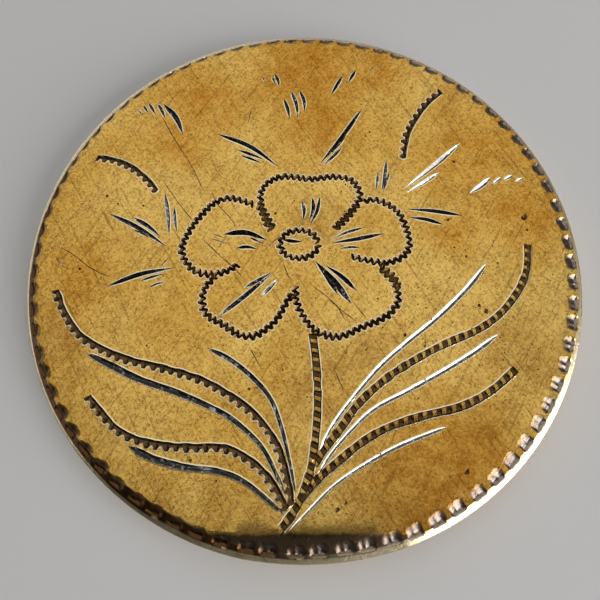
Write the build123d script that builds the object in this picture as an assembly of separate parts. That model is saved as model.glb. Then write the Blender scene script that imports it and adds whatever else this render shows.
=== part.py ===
from build123d import *
from math import cos, radians, sin, tan
import os

# Hand-engraved brass token, millimetres. The token lies flat with its engraved
# face up: +Z is up, +Y runs from the foot of the flower's stem to its head, and
# the origin is the centre of the plain back.

# ---- driving dimensions ----
TOKEN_R = 15.5
THICKNESS = 1.8

# ---- border ----
BEVEL_W = 0.45  # width of the bevel round the field, in plan
BEVEL_DROP = 0.38  # how far it falls to the outer edge
FRONT_EDGE_ROUND = 0.08
BACK_EDGE_ROUND = 0.2
SCOOP_COUNT = 80
SCOOP_PHASE = -1.67  # degrees from +X to the first scoop
SCOOP_R = 0.5  # radius of the round tool that cut the scoops
SCOOP_SLOPE = 20.0  # degrees below the horizontal, falling outward
SCOOP_START_R = TOKEN_R - 0.79  # inner end of each scoop
SCOOP_LENGTH = 3.0

# ---- slope filed across the foot of the field ----
FOOT_SLOPE = 17.0  # degrees
FOOT_LINE_Y = -13.95
FOOT_SLOPE_W = 18.0
FOOT_SLOPE_L = 4.0
FOOT_TOOL_H = 1.0

# ---- engraving ----
DEPTH_PER_WIDTH = 0.34  # a V cut is this deep for each unit of its width
TOOL_LIFT = 0.05  # cutting solids stand this far out of the field
DASH_THICK_AT = 0.4  # where along a dash it is widest
LINE_STATIONS = 9  # sections that shape one long tapering line
LINE_SWELL = 0.2  # share of a leaf line's length over which it reaches its full width
LINE_TAIL_W = 0.5  # share of the full width kept at the stem end of a leaf line

PETAL_PITCH = 0.36
PETAL_BAND_W = 0.4
LEAF_PITCH = 0.5
LEAF_BAND_W = 0.44
STROKE_W = 0.5  # width of a rocking stroke as a share of the pitch
STROKE_LEAN = 0.25  # how far half a stroke leans along the line, as a share of the pitch
RETURN_SIZE = 0.65  # size of a petal's return stroke against the main one

# Petal outlines, each a smooth curve through these places, from the flower's heart round
TOP_PETAL = [
    (-1.6, 1.6), (-2.05, 2.4), (-2.4, 3.3), (-2.4, 4.0), (-1.95, 4.65), (-1.0, 5.0), (0.5, 4.8),
    (1.8, 4.95), (2.9, 4.7), (3.35, 3.8), (3.15, 3.2), (2.5, 2.42), (1.75, 1.6),
]
RIGHT_PETAL = [
    (3.5, 3.3), (4.1, 3.45), (4.9, 3.15), (5.5, 2.6), (5.85, 1.7), (6.0, 0.8), (5.7, 0.0),
    (4.7, -0.45), (3.6, -0.3), (2.65, -0.05),
]
LOWER_RIGHT_PETAL = [
    (4.2, -0.75), (4.85, -1.35), (5.15, -2.0), (5.1, -2.8), (4.4, -3.55), (3.1, -4.1),
    (1.9, -4.6), (0.8, -4.35), (0.15, -3.7), (-0.35, -2.7), (-0.42, -1.75),
]
LOWER_LEFT_PETAL = [
    (-0.55, -2.1), (-0.95, -2.8), (-1.5, -3.75), (-2.5, -4.5), (-3.3, -4.5), (-4.3, -3.9),
    (-5.2, -3.35), (-5.5, -2.5), (-5.3, -1.75), (-4.8, -1.15),
]
UPPER_LEFT_PETAL = [
    (-2.75, 3.15), (-3.4, 3.4), (-4.2, 3.6), (-5.1, 3.3), (-5.9, 2.4), (-6.5, 1.4), (-6.8, 0.35),
    (-6.3, -0.6), (-5.7, -0.98), (-4.9, -1.05), (-4.2, -0.88), (-3.5, -0.45),
]
PETALS = [TOP_PETAL, RIGHT_PETAL, LOWER_RIGHT_PETAL, LOWER_LEFT_PETAL, UPPER_LEFT_PETAL]
HEART = (-0.2, 0.7)
HEART_RADII = (1.1, 0.86)

# Rocked lines: the stem, the four long leaves, and two curls above the flower
STEM = [
    (0.5, -4.4), (0.66, -5.8), (0.73, -7.2), (0.7, -8.5), (0.6, -9.6), (0.45, -10.6), (0.28, -11.4),
    (0.0, -12.1), (-0.3, -12.8), (-0.72, -13.4), (-1.3, -14.1),
]
ROCKED_LEAVES = [
    [(-13.6, -1.85), (-13.0, -3.1), (-12.0, -4.4), (-10.7, -5.2), (-9.2, -5.8), (-7.2, -6.28), (-5.2, -6.9),
     (-3.5, -7.85), (-2.2, -8.9), (-1.3, -10.2), (-0.88, -11.5), (-0.6, -13.0)],
    [(-11.15, -7.6), (-10.3, -8.5), (-9.2, -9.45), (-7.6, -10.0), (-5.7, -10.18), (-4.0, -10.2),
     (-2.8, -10.72), (-1.8, -11.55), (-0.75, -13.2)],
    [(12.6, 0.6), (12.3, -1.0), (11.6, -2.25), (10.5, -3.45), (9.2, -4.3), (7.6, -4.95), (5.9, -5.8),
     (4.3, -6.78), (2.8, -8.05), (1.9, -9.2), (1.0, -10.3), (0.5, -11.0)],
    [(11.0, -6.35), (9.6, -7.45), (8.0, -8.22), (6.0, -8.68), (4.2, -9.24), (2.9, -9.93), (1.7, -10.82),
     (0.5, -11.78), (-0.3, -12.7)],
]
CURLS = [
    [(-12.4, 6.35), (-11.2, 6.12), (-10.1, 5.6), (-9.15, 4.8), (-8.4, 3.85)],
    [(8.7, 10.95), (7.75, 10.1), (6.95, 9.0), (6.35, 7.9), (6.1, 6.9), (5.95, 5.95)],
]

# Smooth leaf lines: places along the line from its outer tip to the stem, and full width
LEFT_LEAF_LINES = [
    ([(-11.45, -5.38), (-10.0, -6.08), (-8.5, -6.78), (-6.5, -7.46), (-4.8, -8.17), (-3.6, -8.8),
      (-2.15, -10.05), (-1.3, -11.5), (-0.85, -12.5)], 0.33),
    ([(-8.75, -10.07), (-7.4, -10.68), (-5.8, -11.07), (-4.2, -11.26), (-2.8, -11.8),
      (-0.95, -13.2)], 0.33),
    ([(-5.05, -5.17), (-3.8, -5.8), (-2.6, -6.75), (-1.68, -7.8), (-1.15, -9.1), (-0.75, -10.6),
      (-0.4, -12.3)], 0.25),
]
RIGHT_LEAF_LINES = [
    ([(10.2, -0.5), (8.95, -1.95), (7.2, -3.56), (5.45, -4.93), (3.95, -6.2), (2.45, -7.85), (1.4, -9.2),
      (0.65, -10.6)], 0.25),
    ([(10.35, -4.5), (8.95, -5.45), (7.2, -6.46), (5.4, -7.4), (3.6, -8.3), (2.45, -9.28), (1.4, -10.4),
      (0.55, -11.6)], 0.23),
    ([(7.2, -9.2), (4.8, -10.08), (2.95, -11.0), (1.5, -11.9), (0.5, -12.78), (-0.75, -13.95)], 0.2),
]

# Bright-cut dashes: the two ends and the full width
LEFT_DASHES = [
    ((-9.82, 10.02), (-9.5, 9.5), 0.15), ((-9.52, 10.2), (-9.0, 9.35), 0.18),
    ((-8.98, 10.2), (-8.4, 9.05), 0.2), ((-8.6, 10.12), (-7.22, 7.9), 0.33),
    ((-8.0, 3.95), (-7.55, 1.2), 0.21), ((-7.4, 3.05), (-7.15, 1.5), 0.17),
    ((-11.15, 2.68), (-7.65, 0.6), 0.27), ((-9.75, 2.42), (-8.05, 1.22), 0.24),
    ((-9.6, 1.63), (-8.72, 1.18), 0.13), ((-10.8, -1.75), (-7.05, -0.65), 0.27),
    ((-8.95, -1.42), (-7.6, -1.0), 0.15), ((-8.42, -1.8), (-7.5, -1.48), 0.12),
]
TOP_DASHES = [
    ((-1.88, 12.15), (-1.68, 11.55), 0.13), ((-1.7, 12.3), (-1.42, 11.35), 0.2),
    ((-1.12, 10.42), (-0.75, 8.95), 0.22), ((-0.68, 11.02), (-0.25, 9.05), 0.23),
    ((-0.15, 11.05), (0.15, 9.45), 0.21), ((-5.2, 7.95), (-1.4, 5.62), 0.29),
    ((-3.85, 6.8), (-2.3, 6.15), 0.2), ((-3.65, 6.42), (-2.4, 5.88), 0.15),
    ((3.72, 9.68), (1.0, 5.75), 0.27), ((2.65, 7.75), (1.5, 6.3), 0.17),
    ((2.42, 6.95), (1.2, 5.68), 0.19), ((2.58, 12.12), (1.82, 10.68), 0.22),
    ((3.42, 12.52), (2.92, 11.6), 0.2),
]
RIGHT_DASHES = [
    ((9.55, 7.22), (5.95, 4.15), 0.29), ((8.08, 5.2), (6.1, 3.9), 0.21),
    ((11.05, 4.85), (9.72, 3.83), 0.29), ((11.68, 4.87), (11.0, 4.32), 0.15),
    ((12.32, 4.98), (11.72, 4.63), 0.16), ((12.92, 4.8), (12.42, 4.54), 0.12),
    ((5.0, 6.05), (4.62, 4.0), 0.2), ((4.46, 5.22), (4.28, 4.05), 0.15),
    ((5.15, 5.2), (4.68, 3.9), 0.16), ((9.15, 2.38), (5.95, 2.83), 0.24),
    ((8.02, 1.83), (6.05, 2.3), 0.23),
]
HEART_DASHES = [
    ((-4.5, 1.33), (-2.0, 0.95), 0.34), ((-3.0, 1.12), (-2.2, 0.72), 0.12),
    ((-3.72, 0.48), (-2.55, 0.42), 0.2), ((-0.02, 3.38), (0.03, 2.18), 0.19),
    ((0.58, 3.62), (0.4, 2.2), 0.22), ((1.02, 3.66), (0.42, 1.85), 0.2),
    ((3.58, 1.72), (1.55, 0.98), 0.16), ((4.62, 1.32), (1.55, 0.74), 0.24),
    ((3.22, 0.48), (2.05, 0.4), 0.15), ((-4.62, -3.52), (-1.6, -0.9), 0.27),
    ((-3.25, -1.87), (-1.75, -0.95), 0.2), ((-2.3, -2.35), (-1.35, -1.3), 0.2),
    ((1.88, -2.25), (0.68, -0.28), 0.27), ((2.62, -2.8), (0.82, -0.42), 0.36),
    ((2.92, -2.07), (1.25, -0.58), 0.27), ((-1.12, 0.97), (-0.02, 0.84), 0.23),
]


def blank():
    """The round blank: plain back and wall, with a bevel round the front."""
    wall_h = THICKNESS - BEVEL_DROP
    disc = Cylinder(TOKEN_R, wall_h, align=(Align.CENTER, Align.CENTER, Align.MIN))
    disc = fillet(disc.edges().sort_by(Axis.Z)[0], BACK_EDGE_ROUND)
    bevel = Cone(TOKEN_R, TOKEN_R - BEVEL_W, BEVEL_DROP, align=(Align.CENTER, Align.CENTER, Align.MIN))
    body = disc + Pos(0, 0, wall_h) * bevel
    outer_edges = [e for e in body.edges().filter_by(GeomType.CIRCLE) if abs(e.center().Z - wall_h) < 0.01]
    return fillet(outer_edges, FRONT_EDGE_ROUND)


def scoop_tool():
    """A round bar that leans outward and down, its lowest line starting at SCOOP_START_R."""
    slope = radians(SCOOP_SLOPE)
    start = Vector(SCOOP_START_R, 0, THICKNESS)
    outward = Vector(cos(slope), 0, -sin(slope))
    upward = Vector(sin(slope), 0, cos(slope))
    centre = start + upward * SCOOP_R
    bar_plane = Plane(origin=centre - outward * SCOOP_LENGTH / 2, z_dir=outward)
    return bar_plane * Cylinder(SCOOP_R, SCOOP_LENGTH, align=(Align.CENTER, Align.CENTER, Align.MIN))


def foot_slope_tool():
    """A block whose tilted underside files the field down towards the foot of the flower."""
    block = Box(FOOT_SLOPE_W, FOOT_SLOPE_L, FOOT_TOOL_H, align=(Align.CENTER, Align.MAX, Align.MIN))
    return Pos(0, FOOT_LINE_Y, THICKNESS) * Rot(FOOT_SLOPE, 0, 0) * block


def border_tools():
    """The scoops all round and the filed slope at the foot."""
    scoop = scoop_tool()
    tools = [Rot(0, 0, SCOOP_PHASE + 360 / SCOOP_COUNT * i) * scoop for i in range(SCOOP_COUNT)]
    return [foot_slope_tool(), *tools]


def field_height(y):
    """Height of the field, which falls away below the foot line."""
    return THICKNESS - max(0.0, FOOT_LINE_Y - y) * tan(radians(FOOT_SLOPE))


def notch_tool(start, end, width):
    """An upside-down pyramid that leaves a leaf-shaped V cut between two places."""
    start = Vector(*start)
    end = Vector(*end)
    along = (end - start).normalized()
    across = Vector(-along.Y, along.X, 0) * width / 2
    middle = start + (end - start) * DASH_THICK_AT
    depth = width * DEPTH_PER_WIDTH
    grow = 1 + TOOL_LIFT / depth
    surface = field_height(middle.Y)
    raised = Vector(0, 0, surface + TOOL_LIFT)
    outline = (start, middle + across, end, middle - across)
    rim = [middle + (place - middle) * grow + raised for place in outline]
    apex = middle + Vector(0, 0, surface - depth)
    faces = [Face(Wire.make_polygon(rim))]
    for i in range(4):
        faces.append(Face(Wire.make_polygon([rim[i], rim[i - 1], apex])))
    return Solid(Shell(faces))


def stroke_tool(curve, share, pitch, band_width, lean, size):
    """One rocking stroke across a curve; lean is positive when it slants forward to the right."""
    middle = curve @ share
    along = curve % share
    reach = (Vector(-along.Y, along.X, 0) * band_width / 2 - along * pitch * lean) * size
    first = middle + reach
    last = middle - reach
    return notch_tool((first.X, first.Y), (last.X, last.Y), pitch * STROKE_W * size)


def rocked_line(curve, pitch, band_width):
    """Slanting strokes one after another along a curve, as a rocked graver leaves them."""
    count = round(curve.length / pitch)
    places = [(i + 0.5) / count for i in range(count)]
    return [stroke_tool(curve, share, pitch, band_width, STROKE_LEAN, 1.0) for share in places]


def zigzag_line(curve, pitch, band_width):
    """Main strokes with smaller return strokes between them, which read as a zigzag."""
    count = round(curve.length / pitch)
    tools = []
    for i in range(count):
        tools.append(stroke_tool(curve, (i + 0.25) / count, pitch, band_width, STROKE_LEAN, 1.0))
        tools.append(stroke_tool(curve, (i + 0.75) / count, pitch, band_width, -STROKE_LEAN, RETURN_SIZE))
    return tools


def line_swell(share):
    """Width of a leaf line against its full width: a quick swell, then a slow taper."""
    if share < LINE_SWELL:
        return (share / LINE_SWELL) ** 0.6
    return 1 - (1 - LINE_TAIL_W) * (share - LINE_SWELL) / (1 - LINE_SWELL)


def line_tool(places, full_width):
    """A V-shaped bar along a smooth curve, pointed at both ends."""
    curve = Spline(*places)
    sections = []
    for i in range(LINE_STATIONS):
        share = (i + 0.5) / LINE_STATIONS
        middle = curve @ share
        along = curve % share
        width = full_width * line_swell(share)
        depth = width * DEPTH_PER_WIDTH
        half = Vector(-along.Y, along.X, 0) * (width / 2) * (1 + TOOL_LIFT / depth)
        surface = field_height(middle.Y)
        raised = middle + Vector(0, 0, surface + TOOL_LIFT)
        keel = middle + Vector(0, 0, surface - depth)
        sections.append(Wire.make_polygon([raised + half, raised - half, keel]))
    tip = curve @ 0
    tail = curve @ 1
    first = Vertex(tip.X, tip.Y, field_height(tip.Y) + TOOL_LIFT)
    last = Vertex(tail.X, tail.Y, field_height(tail.Y) + TOOL_LIFT)
    return Solid.make_loft([first, *sections, last], ruled=True)


def engraving():
    """Every cut of the flower, its leaves and the dashes around it."""
    tools = []
    for places in PETALS:
        tools += zigzag_line(Spline(*places), PETAL_PITCH, PETAL_BAND_W)
    heart = (Pos(*HEART) * Ellipse(*HEART_RADII)).edge()
    tools += zigzag_line(heart, PETAL_PITCH, PETAL_BAND_W)
    for places in [STEM, *ROCKED_LEAVES, *CURLS]:
        tools += rocked_line(Spline(*places), LEAF_PITCH, LEAF_BAND_W)
    for start, end, width in LEFT_DASHES + TOP_DASHES + RIGHT_DASHES + HEART_DASHES:
        tools.append(notch_tool(start, end, width))
    for places, width in LEFT_LEAF_LINES + RIGHT_LEAF_LINES:
        tools.append(line_tool(places, width))
    return tools


def token():
    """The finished one-piece token."""
    return blank().cut(*border_tools()).cut(*engraving())


os.makedirs("parts", exist_ok=True)
export_step(token(), "parts/token.step")
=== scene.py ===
import math
import random
from dataclasses import dataclass

import bmesh
import bpy
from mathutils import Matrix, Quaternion, Vector, noise
from mathutils.geometry import delaunay_2d_cdt


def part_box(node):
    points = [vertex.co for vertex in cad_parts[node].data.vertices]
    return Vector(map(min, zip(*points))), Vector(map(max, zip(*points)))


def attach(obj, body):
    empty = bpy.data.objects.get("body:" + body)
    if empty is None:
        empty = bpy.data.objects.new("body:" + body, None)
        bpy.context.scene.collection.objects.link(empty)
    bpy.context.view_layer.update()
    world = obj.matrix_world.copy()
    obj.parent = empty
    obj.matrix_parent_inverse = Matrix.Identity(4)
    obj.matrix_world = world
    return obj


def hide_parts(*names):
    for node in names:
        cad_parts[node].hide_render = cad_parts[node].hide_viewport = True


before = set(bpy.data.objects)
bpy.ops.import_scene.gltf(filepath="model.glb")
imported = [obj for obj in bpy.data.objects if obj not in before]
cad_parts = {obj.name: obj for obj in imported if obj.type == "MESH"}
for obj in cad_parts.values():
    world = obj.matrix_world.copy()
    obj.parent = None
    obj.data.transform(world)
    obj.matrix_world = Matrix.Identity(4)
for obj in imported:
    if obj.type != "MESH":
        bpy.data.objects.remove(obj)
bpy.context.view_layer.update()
rng = random.Random(1887)

# Lengths are in millimetres until a mesh is made; the engraving is placed from the token's centre,
# +X to the right and +Y towards the top of the flower.
MM = 0.001
token_low, token_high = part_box("token")
TOKEN_R = (token_high[0] - token_low[0]) / 2 / MM
THICKNESS = (token_high[2] - token_low[2]) / MM

# ---- border ----
BOW_START_R = TOKEN_R - 1.3  # the field bows down a little from here
BOW_SLOPE = 0.1  # its slope one millimetre further out
EDGE_ROUND = 0.08
BACK_ROUND = 0.2
BACK_RING_R = TOKEN_R - BACK_ROUND - 0.1
EDGE_STEPS = 3
BACK_STEPS = 4
FIELD_R = TOKEN_R - 1.15  # the flat mesh of the field ends here and the ring mesh begins
BORDER_STEPS = 1120  # points round the border
SHOULDER_ROWS = 16
BEVEL_ROWS = 9
LEAST_BEVEL_DROP = 0.1
WORN_HIGHLIGHT_LINE_AT = 0.8  # of the way down the bevel, where it is least worn; past it the bevel is painted as a bright line of wear and painted highlight
SCOOP_COUNT = 80
SCOOP_PHASE = -1.67  # degrees
SCOOP_DEPTH = 0.16
DEEPEST_SHARE = 0.72  # of the way from a scoop's inner to its outer end
SCOOP_REACH = 0.79  # from the rim to a scoop's inner end, before it varies round the border
SCOOP_OUTER_INSET = 0.3

# Sides of the border, in degrees from +X towards +Y
TOP_SIDE = 100
# the lower left, where the border is painted with shade
SHADED_SIDE = 200
FILED_SIDE = 244
LOWER_RIGHT_SIDE = 310

# ---- field ----
FIELD_SINK = 0.016  # the field lies this far under the CAD face, so that burrs stay inside it
WAVE_HEIGHT = 0.004
FOOT_LINE_Y = -13.95
FOOT_SLOPE = math.tan(math.radians(17))
FIELD_SPACING = 0.5
BACK_SPACING = 1.1

# ---- cuts ----
LIP_WIDTH = 0.07  # burr pushed up along a cut
LIP_HEIGHT = 0.014
FULL_LIP_FROM = 0.12  # burrs are smaller on cuts narrower than this
KEEL_LEAN = 0.45  # how far a cut's deepest line leans from its middle, as a share of half its width
DEPTH_PER_WIDTH = 0.4
DASH_STEPS = 9
DASH_WIDEST = 0.38  # where along a dash it is widest
LINE_SWELL = 0.08  # share of a leaf line over which it widens at its tip
LINE_TAPER_FROM = 0.3
LINE_TAIL_WIDTH = 0.5
LINE_CLOSE = 0.05  # share of a leaf line over which it closes at the stem
SCRATCH_WIDTH = 0.045
LIGHT_SIDE = Vector((0.6, -0.8))  # keels lean this way, so the broad walls face it
FULL_DEPTH = 0.1  # a cut this deep counts as fully dark: painted shade in the cuts
KINDS = ("field", "lip", "wall", "rocked")  # where triangles overlap, the later kind shows
SHARP_BEND = math.radians(26)
WELD_DISTANCE = 2e-7  # metres
CURVE_STEPS = 24  # fine steps between two given places of a curve

# One step of a rocked line, as (steps along, share of half the band)
ZIGZAG_ABOVE = ((-0.18, 1.0), (0.18, 1.0), (0.5, 0.22))
ZIGZAG_BELOW = ((0.0, -0.22), (0.32, -1.0), (0.68, -1.0))
ZIGZAG_KEEL_SIDE = 0.62
BAR_STEPS = (0.08, 0.44)
TOOTH_CORNERS = ((0.62, 0.0, 0.72), (0.86, 0.06, 0.82))  # steps along, further reach, steps to its foot
LADDER_SIDES = (1.0, 0.72, 0.0, -0.72, -1.0)
LADDER_SLANT = 0.12
LADDER_BAR_TONE = 0.25  # the middle of a bar catches the light


# -------- curves

def smooth_curve(places, spacing):
    """Points at an even spacing along a smooth curve through the given places, with directions."""
    places = [Vector(p) for p in places]
    if len(places) == 2:
        places.insert(1, (places[0] + places[1]) / 2)
    ends = [2 * places[0] - places[1], *places, 2 * places[-1] - places[-2]]
    fine = []
    for before, start, end, after in zip(ends, ends[1:], ends[2:], ends[3:]):
        for i in range(CURVE_STEPS):
            t = i / CURVE_STEPS
            fine.append(
                0.5 * (
                    2 * start + (end - before) * t
                    + (2 * before - 5 * start + 4 * end - after) * t * t
                    + (3 * start - before - 3 * end + after) * t ** 3
                )
            )
    fine.append(places[-1])
    lengths = [0.0]
    for a, b in zip(fine, fine[1:]):
        lengths.append(lengths[-1] + (b - a).length)
    count = max(2, round(lengths[-1] / spacing))
    points = []
    k = 0
    for i in range(count + 1):
        target = lengths[-1] * i / count
        while k < len(fine) - 2 and lengths[k + 1] < target:
            k += 1
        share = (target - lengths[k]) / (lengths[k + 1] - lengths[k])
        points.append(fine[k].lerp(fine[k + 1], share))
    directions = []
    for i in range(count + 1):
        ahead = points[min(i + 1, count)] - points[max(i - 1, 0)]
        directions.append(ahead.normalized())
    return points, directions


# -------- the field's own shape

def surface_level(x, y):
    """Height of the uncut surface over the CAD face: slow waves, the bent edge, the filed foot."""
    wave = 0.7 * noise.noise(Vector((x * 0.21, y * 0.21, 3.1)))
    wave += 0.3 * noise.noise(Vector((x * 0.6, y * 0.6, 8.4)))
    level = -FIELD_SINK - WAVE_HEIGHT * (1 + wave)
    out = max(0.0, math.hypot(x, y) - BOW_START_R)
    level -= BOW_SLOPE * out ** 3 / 3
    ripple = 0.1 * noise.noise(Vector((x * 0.5, 0.0, 5.0)))
    below = FOOT_LINE_Y + ripple - y
    if below > 0:
        level -= below * FOOT_SLOPE
    return level


# -------- cuts, as small meshes on the field

class Cuts:
    """Corner places with a height above the field, and triangles tagged with a kind and a tone.

    For a smooth wall the tone is how lit it is painted, as painted light and shade; for a rocked one it is
    how dark it is.
    """

    def __init__(self):
        self.corners = []
        self.triangles = []
        self.cut_light = 1.0  # how lit the smooth walls added next are painted: painted light and shade

    def corner(self, place, height):
        self.corners.append((place.x, place.y, height))
        return len(self.corners) - 1

    def wall(self, *corners):
        self.triangles.append((corners, "wall", self.cut_light))

    def rocked(self, *corners, dark=1.0):
        self.triangles.append((corners, "rocked", dark))

    def lip(self, *corners):
        self.triangles.append((corners, "lip", 0.0))

    def ribbon(self, points, directions, widths, depths, lip=LIP_HEIGHT, lean=KEEL_LEAN):
        """A V-shaped cut along a line, pointed at both ends, with a burr on each side."""
        previous = None
        tip = self.corner(points[0], 0.0)
        for point, along, width, depth in zip(points[1:-1], directions[1:-1], widths[1:-1], depths[1:-1]):
            across = Vector((-along.y, along.x))
            if across.dot(LIGHT_SIDE) < 0:
                keel_side = -across
            else:
                keel_side = across
            burr = LIP_WIDTH * min(1.0, width / FULL_LIP_FROM)
            rise = lip * min(1.0, width / FULL_LIP_FROM)
            row = (
                self.corner(point + across * (width / 2 + burr), 0.0),
                self.corner(point + across * width / 2, rise),
                self.corner(point + keel_side * width / 2 * lean, -depth),
                self.corner(point - across * width / 2, rise),
                self.corner(point - across * (width / 2 + burr), 0.0),
            )
            if previous is None:
                self.close_end(tip, row, flip=False)
            else:
                self.join_rows(previous, row)
            previous = row
        self.close_end(self.corner(points[-1], 0.0), previous, flip=True)

    def join_rows(self, first, second):
        for k, add in enumerate((self.lip, self.wall, self.wall, self.lip)):
            add(first[k], second[k], second[k + 1])
            add(first[k], second[k + 1], first[k + 1])

    def close_end(self, tip, row, flip):
        for k, add in enumerate((self.lip, self.wall, self.wall, self.lip)):
            if flip:
                add(row[k], tip, row[k + 1])
            else:
                add(tip, row[k], row[k + 1])

    def edge_lip(self, crests, feet):
        """The burr along one edge of a strip, from its crest down to the field."""
        for k in range(len(crests) - 1):
            self.lip(crests[k], feet[k], feet[k + 1])
            self.lip(crests[k], feet[k + 1], crests[k + 1])


def dash_profile(share):
    """Relative width along a dash: quick swell to its widest place, long taper after it."""
    if share < DASH_WIDEST:
        return math.sin(math.pi / 2 * share / DASH_WIDEST) ** 0.8
    return math.cos(math.pi / 2 * (share - DASH_WIDEST) / (1 - DASH_WIDEST)) ** 0.8


def add_dash(cuts, start, end, width, bend):
    """A bright-cut dash from start to end; bend bows it to the left of that direction."""
    start = Vector(start)
    end = Vector(end)
    along = (end - start).normalized()
    middle = (start + end) / 2 + Vector((-along.y, along.x)) * bend
    spacing = max(0.12, (end - start).length / DASH_STEPS)
    points, directions = smooth_curve([start, middle, end], spacing)
    count = len(points) - 1
    widths = [width * dash_profile(i / count) * rng.uniform(0.95, 1.05) for i in range(count + 1)]
    depths = [w * DEPTH_PER_WIDTH for w in widths]
    cuts.ribbon(points, directions, widths, depths)


def add_leaf_line(cuts, places, width, chatter):
    """A long smooth cut, broad near its outer tip and thinner towards the stem.

    chatter is how much its depth changes from place to place, as a share of the depth.
    """
    points, directions = smooth_curve(places, 0.35)
    count = len(points) - 1
    widths = []
    for i in range(count + 1):
        share = i / count
        swell = min(1.0, share / LINE_SWELL) ** 0.6
        past = max(0.0, share - LINE_TAPER_FROM) / (1 - LINE_TAPER_FROM)
        tail = 1.0 - (1 - LINE_TAIL_WIDTH) * past
        close = min(1.0, (1 - share) / LINE_CLOSE)
        widths.append(width * swell * tail * close * rng.uniform(0.93, 1.07))
    depths = [w * DEPTH_PER_WIDTH * rng.uniform(1 - chatter, 1 + chatter) for w in widths]
    cuts.ribbon(points, directions, widths, depths)


class Rocked:
    """A curve walked step by step; places are given as (steps along, share of half the band)."""

    def __init__(self, cuts, places, pitch, band):
        self.cuts = cuts
        self.points, self.directions = smooth_curve(places, pitch)
        self.count = len(self.points) - 1
        self.band = band
        # how far each step is shifted along the line, and how wide it is, as shares of the band
        self.shakes = [(rng.uniform(-0.06, 0.06), rng.uniform(0.88, 1.1)) for _ in self.points]

    def corner(self, step, side, height, beyond=0.0):
        """A corner of the band; beyond is a further distance outward in millimetres."""
        if step < 0.3 or step > self.count - 0.3:
            height = min(height, 0.0)  # no burr across the two ends
        step = min(max(step, 0.0), self.count - 1e-6)
        k = int(step)
        shift, girth = self.shakes[k]
        point = self.points[k].lerp(self.points[k + 1], step - k)
        along = self.directions[k].lerp(self.directions[k + 1], step - k).normalized()
        across = Vector((-along.y, along.x))
        reach = side * self.band / 2 * girth + math.copysign(beyond, side)
        return self.cuts.corner(point + across * reach + along * shift * self.band, height)

    def crest(self, crests, feet, step, side, height, beyond):
        """A corner on the crest of a burr and the one at its foot, added to their lists."""
        crests.append(self.corner(step, side, height))
        feet.append(self.corner(step, side, 0.0, beyond))


def add_zigzag(cuts, places, pitch, band, depth):
    """Wriggle work: one zigzag cut with uncut teeth between its turns on both sides."""
    line = Rocked(cuts, places, pitch, band)
    rise = LIP_HEIGHT * 0.6
    burr = LIP_WIDTH * 1.4
    upper, upper_feet, lower, lower_feet, keels = [], [], [], [], []
    for i in range(line.count):
        deep = depth * rng.uniform(0.8, 1.2)
        turn = i + 0.25
        for step, side in ZIGZAG_ABOVE:
            line.crest(upper, upper_feet, turn + step, side, rise, burr)
        for step, side in ZIGZAG_BELOW:
            line.crest(lower, lower_feet, turn + step, side, rise, burr)
        keels.append(line.corner(turn, ZIGZAG_KEEL_SIDE, -deep))
        keels.append(line.corner(turn + 0.5, -ZIGZAG_KEEL_SIDE, -deep))
    for i in range(line.count):
        ua, ub, notch = upper[3 * i:3 * i + 3]
        tooth, la, lb = lower[3 * i:3 * i + 3]
        k1, k2 = keels[2 * i:2 * i + 2]
        cuts.rocked(k1, ua, ub)
        cuts.rocked(k1, ub, notch)
        cuts.rocked(k1, notch, k2)
        cuts.rocked(k1, tooth, k2)
        cuts.rocked(tooth, la, k2)
        cuts.rocked(k2, la, lb)
        if i == 0:
            cuts.rocked(k1, ua, tooth)
        if i + 1 < line.count:
            next_a, next_tooth, next_k = upper[3 * i + 3], lower[3 * i + 3], keels[2 * i + 2]
            cuts.rocked(k2, notch, next_k)
            cuts.rocked(next_k, notch, next_a)
            cuts.rocked(k2, lb, next_tooth)
            cuts.rocked(k2, next_tooth, next_k)
        else:
            cuts.rocked(k2, notch, lb)
    cuts.edge_lip(upper, upper_feet)
    cuts.edge_lip(lower, lower_feet)


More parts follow.
